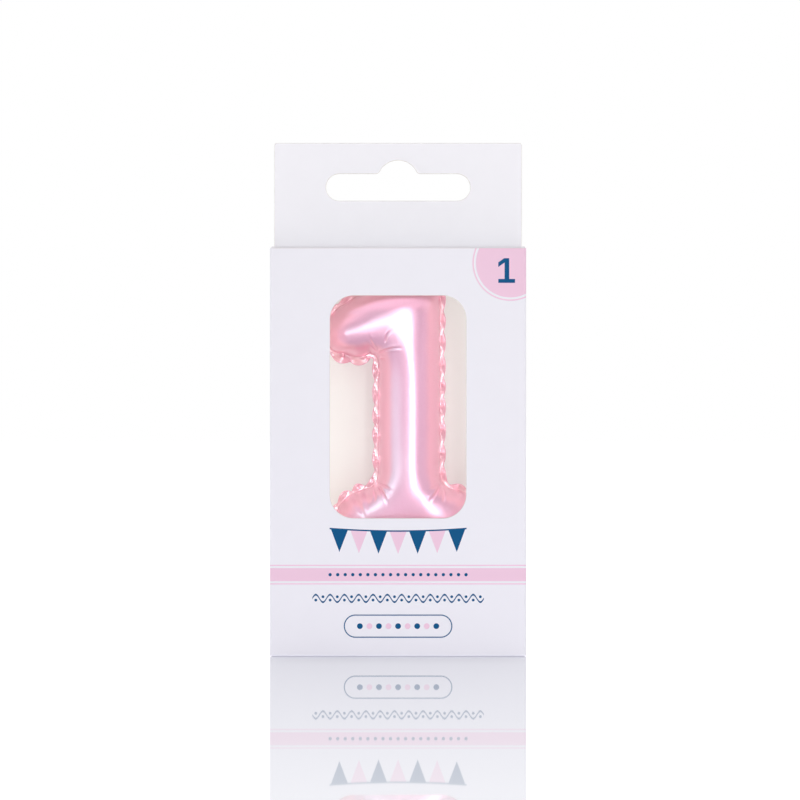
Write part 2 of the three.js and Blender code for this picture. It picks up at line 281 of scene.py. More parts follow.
def age_numeral(x, z):
    """A plain figure 1 in the disc: a stem, a slab foot and a short flag."""
    low, high, left = FIGURE["low"], FIGURE["high"], FIGURE["left"]
    stem = in_box(x, z, FIGURE_STEM["left"], low, FIGURE_STEM["right"], high)
    foot = in_box(x, z, left, low, FIGURE["right"], low + FIGURE["slab"])
    slope = (x - left) * FIGURE_FLAG["rise"] + FIGURE_FLAG["start"]
    corner = in_box(x, z, left, FIGURE_FLAG["low"], FIGURE_FLAG["right"], high)
    flag = corner * abs(z - slope).below(FIGURE_FLAG["half"])
    return stem.max(foot).max(flag)


def bunting_ink(x, z):
    """A cord of pennants across the panel: (pennants with an even number, odd ones, the cord)."""
    half, count = BUNTING["half"], BUNTING["count"]
    pitch = 2 * half / count
    inside = abs(x).below(half)
    sagging = x * x * (BUNTING["sag"] / half**2) + (BUNTING["top"] - BUNTING["sag"])
    drop = sagging - z
    number = ((x + half) / pitch).floor()
    across = abs(x + half - (number + 0.5) * pitch)
    width = (drop * (-1 / BUNTING["flag"]) + 1) * (pitch * BUNTING["fill"])
    flag = (across - width).below(0) * (drop * -1).below(0) * drop.below(BUNTING["flag"]) * inside
    odd = is_odd(number)
    cord = abs(drop).below(BUNTING["cord"]) * inside
    return flag - flag * odd, flag * odd, cord


def garland_ink(x, z):
    """A thin wavy ribbon with a dot in each bend."""
    inside = abs(x).below(GARLAND["half"])
    phase = x * (2 * math.pi / GARLAND["wave"])
    up = z - GARLAND["z"]
    ribbon = abs(up - phase.sin() * GARLAND["swing"]).below(GARLAND["half_line"])
    cell = GARLAND["wave"] / 2
    number = (x / cell).floor()
    side = (phase.sin().below(0) * 2 - 1) * GARLAND["dot_z"]
    dots = distance(x - (number + 0.5) * cell, up - side, 0, 0).below(GARLAND["dot"])
    return ribbon.max(dots) * inside


def dot_row(x, z, row, row_z):
    """(dots with an even number, odd ones) of a row centred on the panel."""
    number = (x / row["pitch"] + 0.5).floor()
    reach = distance(x - number * row["pitch"], z, 0, row_z)
    dots = reach.below(row["radius"]) * abs(x).below(row["half"])
    odd = is_odd(number)
    return dots - dots * odd, dots * odd


def pill_ink(x, z):
    """The outline of a rounded bar."""
    straight = PILL["half_width"] - PILL["half_height"]
    past = (abs(x) - straight).max(0)
    up = z - PILL["z"]
    reach = (past * past + up * up).sqrt() - PILL["half_height"]
    return abs(reach + PILL["line"] / 2).below(PILL["line"] / 2)


def front_art(paint, x, y, z, colour):
    """The front wall's inks over a colour."""
    middle = (BAND["low"] + BAND["high"]) / 2
    even_flags, odd_flags, cord = bunting_ink(x, z)
    band_dots = dot_row(x, z, BAND_DOTS, middle)
    pill_dots = dot_row(x, z, PILL_DOTS, PILL["z"])
    pink = band_ink(z).max(roundel_ink(x, z)).max(odd_flags).max(pill_dots[1])
    navy = age_numeral(x, z).max(even_flags).max(cord).max(garland_ink(x, z)).max(pill_ink(x, z))
    navy = navy.max(band_dots[0]).max(band_dots[1]).max(pill_dots[0])
    return paint.mix(navy, paint.mix(pink, colour, INK_PINK), INK_NAVY)


def right_art(paint, x, y, z, colour):
    """The band and the rest of the roundel, which runs round the corner."""
    along = y + (HALF_DEPTH + HALF_WIDTH)
    return paint.mix(band_ink(z).max(roundel_ink(along, z)), colour, INK_PINK)


def band_art(paint, x, y, z, colour):
    return paint.mix(band_ink(z), colour, INK_PINK)


# ---------- materials


def coated_board(name, printing=None, white=BOARD_WHITE):
    """Clay-coated white board: a satin skin with a faint mottle, over fine pores."""
    paint = Paint(name)
    x, y, z = paint.axes_mm()
    mottle = paint.noise(size_mm=5.0, detail=3.0)
    pores = paint.noise(size_mm=0.12, detail=2.0)
    colour = paint.mix(mottle, tuple(c * 0.975 for c in white), white)
    if printing:
        colour = printing(paint, x, y, z, colour)
    paint.set(color=colour, roughness=paint.span(mottle, 0.4, 0.52), specular=0.13)
    waves = paint.noise(size_mm=22.0, detail=1.0) * 6 + pores * 0.12
    paint.bump(waves, 0.02, 0.5)
    return paint.material


def uncoated_board(name, tint, glow=0.0):
    """The bare cream side: matt, with short fibres and a slow cloudiness. A glow, if given, is painted light:
    the side then emits its own colour.
    """
    paint = Paint(name)
    fibres = paint.noise(size_mm=0.35, detail=4.0, stretch=(1, 1, 0.25))
    cloud = paint.noise(size_mm=3.2, detail=2.0)
    light = paint.mix(fibres, tuple(c * 0.94 for c in tint), tint)
    colour = paint.mix(paint.span(cloud, 0, 0.35), light, tuple(c * 0.95 for c in tint))
    paint.set(color=colour, roughness=0.86, specular=0.2)
    if glow:
        paint.link(colour, paint.surface.inputs["Emission Color"])
        paint.set(emission_strength=glow)
    paint.bump(fibres, 0.03, 0.45)
    return paint.material


def cut_edge(name):
    """A cut board edge: pressed fibre layers seen end on."""
    paint = Paint(name)
    layers = paint.noise(size_mm=0.09, detail=3.0)
    paint.set(color=paint.mix(layers, tuple(c * 0.86 for c in BOARD_CORE), BOARD_CORE), roughness=0.9)
    paint.bump(layers, 0.02, 0.6)
    return paint.material


def clear_film(name):
    """Clear film: see-through, with a faint sheen and slow ripples."""
    paint = Paint(name)
    ripples = paint.noise(size_mm=9.0, detail=1.0)
    paint.tree.nodes.remove(paint.surface)
    clear = paint.node("BsdfTransparent")
    gloss = paint.node("BsdfGlossy")
    gloss.inputs["Roughness"].default_value = 0.06
    bump = paint.node("Bump")
    bump.inputs["Strength"].default_value = 0.3
    bump.inputs["Distance"].default_value = 0.15 * MM
    paint.link(ripples, bump.inputs["Height"])
    paint.link(bump.outputs[0], gloss.inputs["Normal"])
    facing = paint.node("LayerWeight")
    facing.inputs["Blend"].default_value = 0.5
    turned = Field(paint.tree, facing.outputs["Facing"])
    sheen = turned * turned * turned * 0.16 + 0.015
    paint.link(paint.blend_shaders(sheen, clear.outputs[0], gloss.outputs[0]), paint.output.inputs[0])
    return paint.material


def pearl_wax(name):
    """Wax with a metallic pearl coat: lilac where it faces the window, partly a painted sheen, pink as it
    turns away from it.
    """
    paint = Paint(name)
    split = paint.node("SeparateXYZ")
    way = paint.node("TexCoord")
    paint.link(way.outputs["Normal"], split.inputs[0])
    flat_on = abs(Field(paint.tree, split.outputs[1]))
    drift = paint.noise(size_mm=2.6, detail=2.0)
    grain = paint.noise(size_mm=0.4, detail=2.0)
    # The colour follows the surface's turn towards the window, not the view: the lilac there is partly the
    # pearl's own tint and partly a painted sheen of the lamps in front.
    ramp = paint.node("ValToRGB")
    paint.link(flat_on + (drift - 0.5) * 0.06, ramp.inputs[0])
    ramp.color_ramp.interpolation = "EASE"
    ramp.color_ramp.elements[0].position = 0.75
    ramp.color_ramp.elements[0].color = (*PEARL_PINK, 1)
    ramp.color_ramp.elements[1].position = 0.91
    ramp.color_ramp.elements[1].color = (*PEARL_LILAC_SHEEN, 1)
    powdered = paint.mix(paint.span(grain, 0, 0.22), ramp.outputs[0], PEARL_POWDER)
    flat_seam = Field(paint.tree, paint.node("Attribute", attribute_name="ribbon").outputs["Fac"])
    paint.set(color=paint.mix(flat_seam, powdered, PEARL_RIBBON), metallic=flat_seam * -0.2 + 0.7)
    paint.set(roughness=paint.span(drift, 0.285, 0.325), coat=0.6, coat_roughness=0.28)
    paint.bump(grain * 0.9 + drift * 1.2, 0.026, 0.3)
    return paint.material


def wick_cotton(name):
    """White cotton strands, lightly waxed."""
    paint = Paint(name)
    fuzz = paint.noise(size_mm=0.1, detail=4.0)
    paint.set(color=paint.mix(fuzz, srgb(226, 218, 200), srgb(250, 246, 236)), roughness=0.8)
    paint.bump(fuzz, 0.05, 0.6)
    return paint.material


def moulded_plastic(name):
    """Satin white moulded plastic with a slight flow pattern."""
    paint = Paint(name)
    flow = paint.noise(size_mm=2.0, detail=3.0, stretch=(1, 1, 0.3))
    paint.set(color=paint.mix(flow, srgb(240, 238, 233), srgb(250, 249, 246)))
    paint.set(roughness=paint.span(flow, 0.3, 0.42), specular=0.5)
    paint.bump(flow, 0.02, 0.3)
    return paint.material


OUTSIDE = {
    "front_panel": coated_board("coated_board_front", front_art),
    "right_side_panel": coated_board("coated_board_right", right_art),
    "left_side_panel": coated_board("coated_board_left", band_art),
    "back_panel": coated_board("coated_board_back", band_art),
}
PLAIN_OUTSIDE = coated_board("coated_board_plain")
# The tab's lighter copy of the board: painted light.
TAB_PAINTED_LIGHT_OUTSIDE = coated_board("coated_board_tab_painted_light", white=TAB_PAINTED_LIGHT_WHITE)
INSIDE = uncoated_board("uncoated_board", BOARD_CREAM)
# The inner faces of the back, the right side and the front glow: painted light that brightens the inside of
# the carton, as seen through the window and in the wax.
INSIDE_BACK_PAINTED_GLOW = uncoated_board("uncoated_board_back_painted_glow", srgb(234, 236, 233), glow=0.3)
INSIDE_FRONT_PAINTED_GLOW = uncoated_board("uncoated_board_front_painted_glow", BOARD_CREAM, glow=0.4)
EDGE = cut_edge("board_cut_edge")


# ---------- mesh helpers


def add_object(name, vertices, faces, materials, smooth=True):
    mesh = bpy.data.meshes.new(name)
    mesh.from_pydata([tuple(v) for v in vertices], [], faces)
    mesh.update()
    for material in materials:
        mesh.materials.append(material)
    for polygon in mesh.polygons:
        polygon.use_smooth = smooth
    piece = bpy.data.objects.new(name, mesh)
    bpy.context.scene.collection.objects.link(piece)
    return piece


def stand_in(piece, node):
    """Puts a piece in the place of a CAD node: on its body, with the CAD node hidden."""
    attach(piece, BODY_OF[node])
    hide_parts(node)


def repaint(node, material):
    """Gives a CAD node a better material."""
    materials = frame["nodes"][node].data.materials
    materials.clear()
    materials.append(material)


def face_out(piece):
    """Turns every face of a closed mesh outwards."""
    bm = bmesh.new()
    bm.from_mesh(piece.data)
    bmesh.ops.recalc_face_normals(bm, faces=bm.faces)
    bm.to_mesh(piece.data)
    bm.free()


def sheet_loops(node, facing):
    """The outline and holes of the flat CAD face that looks along facing, and that face's normal."""
    bm = bmesh.new()
    bm.from_mesh(frame["nodes"][node].data)
    bmesh.ops.remove_doubles(bm, verts=bm.verts, dist=1e-7)
    bm.normal_update()
    fitting = [f for f in bm.faces if f.normal.dot(Vector(facing)) > 0.7]
    normal = max(fitting, key=lambda f: f.calc_area()).normal.copy()
    edges = set()
    for face in fitting:
        if face.normal.dot(normal) > 0.9999:
            corners = [v.index for v in face.verts]
            edges.update(zip(corners, corners[1:] + corners[:1]))
    follow = {a: b for a, b in edges if (b, a) not in edges}
    places = {v.index: v.co.copy() for v in bm.verts}
    bm.free()
    loops = []
    while follow:
        start, current = follow.popitem()
        loop = [start]
        while current != start:
            loop.append(current)
            current = follow.pop(current)
        loops.append([places[i] for i in loop])
    return loops, normal


def sheet_axes(normal):
    """Two directions along a sheet, so that across, up and its normal are right-handed."""
    up = Vector((0, 1, 0)) if abs(normal.z) > 0.9 else Vector((0, 0, 1))
    across = up.cross(normal).normalized()
    return across, normal.cross(across)


def side_of(outward):
    """Which side of a sheet an edge is on, from its outward direction in the sheet's axes."""
    if abs(outward[0]) > 0.97:
        return "right" if outward[0] > 0 else "left"
    if abs(outward[1]) > 0.97:
        return "top" if outward[1] > 0 else "bottom"
    return "slant"


def inset(points, distances):
    """Moves each edge of a closed loop to its left by its own distance."""
    count = len(points)
    edges = np.roll(points, -1, 0) - points
    normals = np.stack([-edges[:, 1], edges[:, 0]], 1) / np.linalg.norm(edges, axis=1)[:, None]
    moved = []
    for i in range(count):
        n1, n2 = normals[i - 1], normals[i]
        d1, d2 = distances[i - 1], distances[i]
        cross = n1[0] * n2[1] - n1[1] * n2[0]
        if abs(cross) < 0.05:
            moved.append(points[i] + (n1 + n2) / 2 * (d1 + d2) / 2)
        else:
            across = (d1 * n2[1] - d2 * n1[1]) / cross
            up = (d2 * n1[0] - d1 * n2[0]) / cross
            moved.append(points[i] + np.array([across, up]))
    return np.array(moved)


CUT_ROUND = 0.07 * MM
FLUSH_ROUND = 0.015 * MM
CREASE_ROUND = 0.2 * MM
LID_ROUND = 0.3 * MM
FOLD_ROUND = 0.45 * MM
FOLD_DEPTH = 0.98
ROUND_STEPS = (0, 30, 60, 90)
SKIN, BARE, CUT = 0, 1, 2


def loop_sides(flat):
    """Which side of the sheet each edge of an outline is on. Every edge of a hole is on side "hole"."""
    area = sum(flat[i - 1][0] * flat[i][1] - flat[i][0] * flat[i - 1][1] for i in range(len(flat)))
    if area <= 0:
        return ["hole"] * len(flat)
    edges = np.roll(flat, -1, 0) - flat
    return [side_of((e[1] / np.hypot(*e), -e[0] / np.hypot(*e))) for e in edges]


def edge_rings(flat, sides, thick, folds, flush):
    """The loop at each step over its rounded edge, as (points, depths under the outer face)."""
    rounds = np.array([folds.get(s, FLUSH_ROUND if s in flush else CUT_ROUND) for s in sides])
    deep = np.array([thick * FOLD_DEPTH if s in folds else r for s, r in zip(sides, rounds)])
    before = np.roll(deep, 1)
    deep = np.minimum(deep, before) if "hole" in sides else np.maximum(deep, before)
    rings = []
    for angle in ROUND_STEPS:
        turn = math.radians(angle)
        rings.append((inset(flat, rounds * (1 - math.sin(turn))), deep * (1 - math.cos(turn))))
    rings.append((flat, np.full(len(flat), thick)))
    return rings


def cap_faces(loops, vertices, normal, outer):
    """Triangles that close one face of the sheet, given (first vertex, points) for each loop."""
    numbers = [start + i for start, points in loops for i in range(len(points))]
    outline = [[Vector((p[0], p[1], 0)) for p in points] for _, points in loops]
    faces = []
    for triangle in tessellate_polygon(outline):
        a, b, c = (numbers[i] for i in triangle)
        turn = (vertices[b] - vertices[a]).cross(vertices[c] - vertices[a]).dot(normal)
        faces.append((a, b, c) if (turn > 0) == outer else (a, c, b))
    return faces


def board(node, facing, folds=None, flush=(), outside=None, inside=None):
    """A board panel on its CAD node's outline.

    folds gives a fold radius for a named side, whose edge then shows the coated skin. A flush side
    stays square, because its neighbour carries the skin on.
    """
    folds = folds or {}
    loops, normal = sheet_loops(node, facing)
    across, up = sheet_axes(normal)
    level = [v.co.dot(normal) for v in frame["nodes"][node].data.vertices]
    top, thick = max(level), max(level) - min(level)
    vertices, faces, slots = [], [], []
    outer_loops, inner_loops = [], []
    for loop in loops:
        flat = np.array([(p.dot(across), p.dot(up)) for p in loop])
        sides = loop_sides(flat)
        rings = edge_rings(flat, sides, thick, folds, flush)
        starts = []
        for points, depth in rings:
            starts.append(len(vertices))
            for (px, py), sunk in zip(points, depth):
                vertices.append(across * px + up * py + normal * (top - sunk))
        count = len(flat)
        for a, b in zip(starts, starts[1:]):
            for i in range(count):
                j = (i + 1) % count
                faces.append((a + i, b + i, b + j, a + j))
                slots.append(SKIN if sides[i] in folds or sides[i] in flush else CUT)
        outer_loops.append((starts[0], rings[0][0]))
        inner_loops.append((starts[-1], rings[-1][0]))
    for slot, ends in ((SKIN, outer_loops), (BARE, inner_loops)):
        cap = cap_faces(ends, vertices, normal, slot == SKIN)
        faces += cap
        slots += [slot] * len(cap)
    skin = outside or OUTSIDE.get(node, PLAIN_OUTSIDE)
    piece = add_object(node + "_board", vertices, faces, [skin, inside or INSIDE, EDGE], smooth=False)
    for polygon, slot in zip(piece.data.polygons, slots):
        polygon.material_index = slot
    stand_in(piece, node)
    return piece


# ---------- carton

board(
    "front_panel", (0, -1, 0), folds={"left": FOLD_ROUND, "right": FOLD_ROUND, "bottom": FOLD_ROUND},
    inside=INSIDE_FRONT_PAINTED_GLOW,
)
board(
    "back_panel", (0, 1, 0), folds={"left": FOLD_ROUND, "right": FOLD_ROUND, "top": CREASE_ROUND},
    inside=INSIDE_BACK_PAINTED_GLOW,
)
for side, facing, inside in (("left", -1, INSIDE), ("right", 1, INSIDE_BACK_PAINTED_GLOW)):
    creases = {"top": CREASE_ROUND, "bottom": CREASE_ROUND}
    board(side + "_side_panel", (facing, 0, 0), folds=creases, flush=("left", "right"), inside=inside)
board("glue_flap", (-1, 0, 0))
board("lid_panel", (0, 0, 1), folds={"bottom": LID_ROUND}, flush=("top",))
board("lid_tuck_flap", (0, -1, 0), flush=("top",))
board("hang_tab_rear_ply", (0, 1, 0), folds={"bottom": CREASE_ROUND}, outside=TAB_PAINTED_LIGHT_OUTSIDE)
tab_front = board("hang_tab_front_ply", (0, -1, 0), outside=TAB_PAINTED_LIGHT_OUTSIDE)
board("bottom_panel", (0, 0, -1), folds={"bottom": CREASE_ROUND, "top": CREASE_ROUND})
board("bottom_tuck_flap", (0, 1, 0), folds={"bottom": CREASE_ROUND})
for side, mirrored in (("left", "right"), ("right", "left")):
    board("top_dust_flap_" + side, (0, 0, 1), folds={side: CREASE_ROUND})
    board("bottom_dust_flap_" + side, (0, 0, -1), folds={mirrored: CREASE_ROUND})

repaint("window_film", clear_film("clear_film"))
repaint("candle_insert", uncoated_board("insert_board", srgb(240, 226, 216)))

# ---------- the numeral

# Half widths of the stem and foot, and heights of the top and of the foot's shoulder.
STEM, FOOT, TOP, SHELF = 7.8, 17.3, 59.4, 15.3
CANDLE_X, CANDLE_BASE = 2.4, 21.6
# The seam's ribbon: its width and how much a frill adds, its thickness, its buckles and its scallops.
SEAM = {
    "width": 1.1, "frill": 0.9, "half_thick": 0.28, "buckle": 0.34,
    "pitch": 4.9, "uneven": 0.14, "scallop": 0.55, "arch": 0.8, "arch_middle": 0.55,
}
# Where the seam spreads into a frill, and where the skin bulges into pillows: x, z, reach, strength.
FRILLS = ((-13.2, 41.0, 3.6, 1.0),)
PILLOWS = ((-11.8, 13.6, 4.6, 1.0), (11.8, 13.6, 4.0, 0.6), (-19.0, 49.0, 4.0, 0.25))
PUFF = {"cell": 0.2, "sweeps": 700, "relax": 1.965, "share": 0.9}
# Spacing of the mesh: along the outline, over the skin, near a crease, and the rows beside the seam.
OUTLINE_STEP, SKIN_STEP, CREASE_STEP, CREASE_REACH = 0.2, 0.36, 0.16, 0.9
RIBBON_ROWS = (0.06, 0.14, 0.24, 0.36, 0.5, 0.64, 0.78, 0.9, 1.0)
SKIN_ROWS = (0.07, 0.16, 0.3, 0.5, 0.76)

# Creases pressed into the wax: start, end, half width, depth.
CREASES = (
    (-6.9, 43.9, -9, 48.4, 0.15, 0.23),
    (-5.2, 46, -3.5, 48.7, 0.18, 0.22),
    (-6.7, 43.6, -0.9, 44.6, 0.15, 0.27),
    (-6.7, 42.2, -4.4, 42.2, 0.14, 0.22),
    (-6.8, 15.3, -3.4, 13.3, 0.15, 0.27),
    (-7, 15.1, -4.6, 10.2, 0.17, 0.32),
    (-7.8, 14.2, -7.7, 11, 0.16, 0.27),
    (6.8, 15.1, 3.9, 11.2, 0.17, 0.32),
    (7.4, 14.2, 7.1, 10.8, 0.16, 0.27),
    (6.5, 15.4, 2.8, 14, 0.14, 0.2),
    (6.6, 19.5, 4.8, 20, 0.14, 0.22),
    (6.6, 17.3, 4.9, 17, 0.14, 0.22),
    (10.8, 13.4, 10.6, 12, 0.2, 0.27),
)


def bezier(p0, p1, p2, p3, count=24):
    p0, p1, p2, p3 = (np.array(p, float) for p in (p0, p1, p2, p3))
    t = np.linspace(0, 1, count, endpoint=False)[:, None]
    u = 1 - t
    return u**3 * p0 + 3 * u * u * t * p1 + 3 * u * t * t * p2 + t**3 * p3


def quadratic(p0, p1, p2, count=12):
    p0, p1, p2 = (np.array(p, float) for p in (p0, p1, p2))
    return bezier(p0, p0 + (p1 - p0) * 2 / 3, p2 + (p1 - p2) * 2 / 3, p2, count)


def numeral_outline(spacing):
    """The numeral's outer edge, counter-clockwise from the left of its foot, evenly spaced."""
    s, f, t, h = STEM, FOOT, TOP, SHELF
    parts = [
        [(-f + 5, 0)],
        quadratic((f - 5, 0), (f, 0.2), (f, 6.2)),
        bezier((f, 6.2), (f - 0.2, 11.5), (f - 3.4, 14.2), (s + 1.6, h - 0.2)),
        quadratic((s + 1.6, h - 0.2), (s, h), (s, h + 2.4)),
        quadratic((s, t - 3.6), (s, t), (s - 3.6, t)),
        [(s - 3.6, t)],
        bezier((-2.6, t), (-8, t - 0.2), (-14.2, t - 3.1), (-17.5, t - 6.4)),
        bezier((-17.5, t - 6.4), (-21.2, t - 10.2), (-19.6, t - 15.8), (-15, t - 17.6)),
        bezier((-15, t - 17.6), (-12.6, t - 18.8), (-9.9, t - 18.4), (-s - 0.6, t - 16.9)),
        quadratic((-s - 0.6, t - 16.9), (-s, t - 17), (-s, t - 19)),
        quadratic((-s, h + 2.4), (-s, h), (-s - 1.6, h - 0.2)),
        bezier((-s - 1.6, h - 0.2), (-f + 3.4, 14.2), (-f + 0.2, 11.5), (-f, 6.2)),
        quadratic((-f, 6.2), (-f, 0.2), (-f + 5, 0)),
    ]
    loop = np.vstack([np.array(p, float) for p in parts])
    closed = np.vstack([loop, loop[:1]])
    lengths = np.concatenate([[0], np.cumsum(np.linalg.norm(np.diff(closed, axis=0), axis=1))])
    count = int(lengths[-1] / spacing)
    at = np.linspace(0, lengths[-1], count, endpoint=False)
    return np.stack([np.interp(at, lengths, closed[:, k]) for k in (0, 1)], 1), lengths[-1]


def nearest_on(points, loop):
    """For each point: its distance to the loop, and how far along the loop that is (0 to 1)."""
    edge = np.roll(loop, -1, 0) - loop
    long2 = (edge**2).sum(1)
    reach = np.empty(len(points))
    along = np.empty(len(points))
    for start in range(0, len(points), 2000):
        part = points[start : start + 2000]
        offset = part[:, None, :] - loop[None]
        t = np.clip((offset * edge).sum(2) / long2, 0, 1)
        gap = np.linalg.norm(offset - t[..., None] * edge, axis=2)
        best = gap.argmin(1)
        rows = np.arange(len(part))
        reach[start : start + 2000] = gap[rows, best]
        along[start : start + 2000] = (best + t[rows, best]) / len(loop)
    return reach, along


def inside_loop(points, loop):
    """Whether each point is inside the closed loop."""
    x, y = points[:, 0], points[:, 1]
    result = np.zeros(len(points), bool)
    for (ax, ay), (bx, by) in zip(loop, np.roll(loop, -1, 0)):
        if ay != by:
            crosses = ((ay > y) != (by > y)) & (x < (bx - ax) * (y - ay) / (by - ay) + ax)
            result ^= crosses
    return result


def inflate(seam):
    """The load of a membrane blown up inside the seam, on a grid, and the grid's lowest corner."""
    cell = PUFF["cell"]
    low = seam.base.min(0) - 2 * cell
    columns, rows = (np.ceil((seam.base.max(0) - low) / cell).astype(int) + 3)
    gx, gy = np.meshgrid(low[0] + cell * np.arange(columns), low[1] + cell * np.arange(rows))
    grid = np.stack([gx.ravel(), gy.ravel()], 1)
    depth, along = nearest_on(grid, seam.base)
    free = (inside_loop(grid, seam.base) & (depth > seam.at("width", along))).reshape(rows, columns)
    load = np.zeros((rows, columns))
    parity = (np.add.outer(np.arange(rows), np.arange(columns)) % 2).astype(bool)
    colours = [free & parity, free & ~parity]
    for _ in range(PUFF["sweeps"]):
        for chosen in colours:
            around = sum(np.roll(load, step, axis) for axis in (0, 1) for step in (1, -1))
            change = PUFF["relax"] * ((around + cell * cell) / 4 - load)
            load[chosen] += change[chosen]
    return load, low


def sample(grid, low, points):
    """Bilinear reading of a grid at points."""
    at = (points - low) / PUFF["cell"]
    i = np.clip(at.astype(int), 0, np.array(grid.shape[::-1]) - 2)
    f = at - i
    x, y = i[:, 0], i[:, 1]
    lower = grid[y, x] * (1 - f[:, 0]) + grid[y, x + 1] * f[:, 0]
    upper = grid[y + 1, x] * (1 - f[:, 0]) + grid[y + 1, x + 1] * f[:, 0]
    return lower * (1 - f[:, 1]) + upper * f[:, 1]


def smooth_step(t):
    t = np.clip(t, 0, 1)
    return t * t * (3 - 2 * t)


def crease_depth(points):
    """How far the pressed creases sink the surface: a groove with a low lip on each side."""
    sunk = np.zeros(len(points))
    for ax, ay, bx, by, width, depth in CREASES:
        start, edge = np.array([ax, ay]), np.array([bx - ax, by - ay])
        length = np.linalg.norm(edge)
        along = ((points - start) @ edge) / length**2
        bow = 0.35 * np.sin(np.pi * np.clip(along, 0, 1))
        across = ((points - start) @ np.array([-edge[1], edge[0]])) / length - bow
        fade = smooth_step((along + 0.12) / 0.2) * smooth_step((1 - along) / 0.75)
        spread = width * (1 + 0.8 * np.clip(along, 0, 1))
        lip = np.exp(-(((np.abs(across) - 2.1 * spread) / spread) ** 2))
        groove = np.exp(-((across / spread) ** 2)) - 0.45 * lip
        sunk += depth * groove * fade
    return sunk


def fullness(points):
    """Evens out the swelling: a fuller, drooping flag, and less of a bulge where the bars meet."""
    x, z = points[:, 0], points[:, 1]
    on_flag = smooth_step((-x - 5) / 11) * smooth_step((z - 38) / 6)
    droop = 0.3 * np.clip((48 - z) / 4, -1, 1)
    at_foot = 0.14 * np.exp(-(x**2 + (z - 8.6) ** 2) / 40)
    at_head = 0.05 * np.exp(-((x + 1.5) ** 2 + (z - 49.5) ** 2) / 25)
    return (1 + on_flag * (0.32 + droop)) * (1 - at_foot - at_head)


def hex_grid(low, high, step):
    """Evenly spread points over a rectangle, each row shifted by half a step."""
    rows = []
    for n, y in enumerate(np.arange(low[1], high[1], step * 0.866)):
        x = np.arange(low[0] + (n % 2) * step / 2, high[0], step)
        rows.append(np.stack([x, np.full_like(x, y)], 1))
    return np.vstack(rows)


def near_crease(points, reach):
    """Which points lie within reach of a crease."""
    found = np.zeros(len(points), bool)
    for ax, ay, bx, by, *_ in CREASES:
        start, edge = np.array([ax, ay]), np.array([bx - ax, by - ay])
        t = np.clip(((points - start) @ edge) / (edge @ edge), 0, 1)
        found |= np.linalg.norm(points - start - t[:, None] * edge, axis=1) < reach
    return found


def thin_out(kept, groups):
    """Adds groups of (points, gap), leaving out a point nearer than its gap to one already kept."""
    kept = list(kept)
    cells = {}

    def cell_of(p, size=0.4):
        return int(p[0] // size), int(p[1] // size)

    for p in kept:
        cells.setdefault(cell_of(p), []).append(p)
    for points, gap in groups:
        for p in points:
            cx, cy = cell_of(p)
            close = (q for i in (-1, 0, 1) for j in (-1, 0, 1) for q in cells.get((cx + i, cy + j), ()))
            if all((q[0] - p[0]) ** 2 + (q[1] - p[1]) ** 2 > gap * gap for q in close):
                kept.append(p)
                cells.setdefault((cx, cy), []).append(p)
    return np.array(kept)


def near_spots(points, spots):
    """How strongly each point is within the reach of the spots, from 0 to 1."""
    return np.clip(sum(w * np.exp(-((points - (x, y)) ** 2).sum(1) / r**2) for x, y, r, w in spots), 0, 1)


class Seam:
    """The scalloped seam round the numeral. Its values are read by how far along it a point is, 0 to 1."""

    def __init__(self):
        self.base, length = numeral_outline(OUTLINE_STEP)
        count = len(self.base)
        self.phase = np.arange(count) / count
        tangent = np.roll(self.base, -1, 0) - np.roll(self.base, 1, 0)
        tangent /= np.linalg.norm(tangent, axis=1)[:, None]
        self.outward = np.stack([tangent[:, 1], -tangent[:, 0]], 1)
        frill, pillow = (near_spots(self.base, spots) for spots in (FRILLS, PILLOWS))
        arches = round(length / SEAM["pitch"]) + 2
        shifts = np.random.default_rng(11).uniform(-SEAM["uneven"], SEAM["uneven"], arches)
        jitter = np.interp(self.phase, np.linspace(0, 1, arches + 1), np.append(shifts, 0))
        density = 1 + 0.4 * pillow
        arch = np.cumsum(density) / density.sum() * arches + jitter
        wave = np.abs(np.sin(np.pi * arch)) ** SEAM["arch"] - SEAM["arch_middle"]
        scallop = SEAM["scallop"] * (1 + 1.1 * frill + 1.3 * pillow) * wave
        width = SEAM["width"] + SEAM["frill"] * frill
        self.values = {"frill": frill, "pillow": pillow, "arch": arch, "scallop": scallop, "width": width}
        self.outline = self.offset(scallop)

    def at(self, name, along):
        return np.interp(along, self.phase, self.values[name], period=1)

    def offset(self, outwards):
        """The base line moved outwards by a distance for each of its points."""
        return self.base + self.outward * outwards[:, None]


def mesh_points(seam):
    """Points over the numeral, closer at the seam and the creases, with the rim's own points first."""
    rim = seam.outline[::2]
    width, scallop = seam.values["width"], seam.values["scallop"]
    groups = [(seam.offset(scallop * (1 - share) - width * share), 0.1) for share in RIBBON_ROWS]
    groups += [(seam.offset(-width - gap), 0.1) for gap in SKIN_ROWS]
    low, high = seam.outline.min(0), seam.outline.max(0)
    fine = hex_grid(low, high, CREASE_STEP)
    groups.append((fine[near_crease(fine, CREASE_REACH)], 0.12))
    groups.append((hex_grid(low, high, SKIN_STEP), 0.2))
    groups = [(points[inside_loop(points, seam.outline)], gap) for points, gap in groups]
    return thin_out(rim, groups), len(rim)


